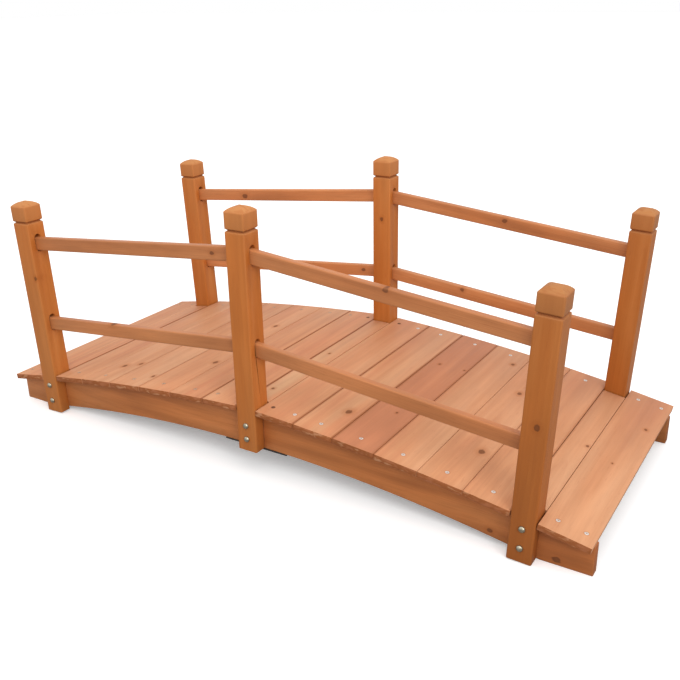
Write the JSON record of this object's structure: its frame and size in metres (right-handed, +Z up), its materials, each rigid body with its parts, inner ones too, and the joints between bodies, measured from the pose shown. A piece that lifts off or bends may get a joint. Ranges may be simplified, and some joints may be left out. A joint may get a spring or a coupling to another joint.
{
  "type": "arched wooden garden bridge",
  "caption": "Small arched garden footbridge in stained softwood: arched side boards, plank deck, leaning capped posts and straight rails in slots.",
  "frame": {"origin": "middle of the footprint on the ground", "axes": "+X along the bridge, +Y across it to the back railing, +Z up"},
  "size_m": [1.4, 0.6, 0.557],
  "materials": {
    "deck_wood": "satin stain on planed softwood, paler on the walking face",
    "post_wood": "satin orange-brown stain on planed softwood",
    "rail_wood": "satin orange-brown stain on planed softwood",
    "stringer_wood": "satin orange-brown stain on planed softwood",
    "dark_steel": "dull black coating",
    "zinc_steel": "bright zinc plating on bolt and screw heads"
  },
  "bodies": {
    "root": {"post_front_left": "post_wood", "post_front_middle": "post_wood", "post_front_right": "post_wood", "post_back_left": "post_wood", "post_back_middle": "post_wood", "post_back_right": "post_wood", "stringer_front_left": "stringer_wood", "stringer_front_right": "stringer_wood", "stringer_back_left": "stringer_wood", "stringer_back_right": "stringer_wood", "strap_front": "dark_steel", "strap_back": "dark_steel", "bearer_left": "stringer_wood", "bearer_middle": "stringer_wood", "bearer_right": "stringer_wood", "rail_front_left_lower": "rail_wood", "rail_front_left_upper": "rail_wood", "rail_front_right_lower": "rail_wood", "rail_front_right_upper": "rail_wood", "rail_back_left_lower": "rail_wood", "rail_back_left_upper": "rail_wood", "rail_back_right_lower": "rail_wood", "rail_back_right_upper": "rail_wood", "plank_post_left": "deck_wood", "plank_post_middle": "deck_wood", "plank_post_right": "deck_wood", "plank_end_left": "deck_wood", "plank_end_right": "deck_wood", "plank_left_1": "deck_wood", "plank_left_2": "deck_wood", "plank_left_3": "deck_wood", "plank_left_4": "deck_wood", "plank_left_5": "deck_wood", "plank_left_6": "deck_wood", "plank_right_1": "deck_wood", "plank_right_2": "deck_wood", "plank_right_3": "deck_wood", "plank_right_4": "deck_wood", "plank_right_5": "deck_wood", "plank_right_6": "deck_wood"}
  },
  "joints": []
}
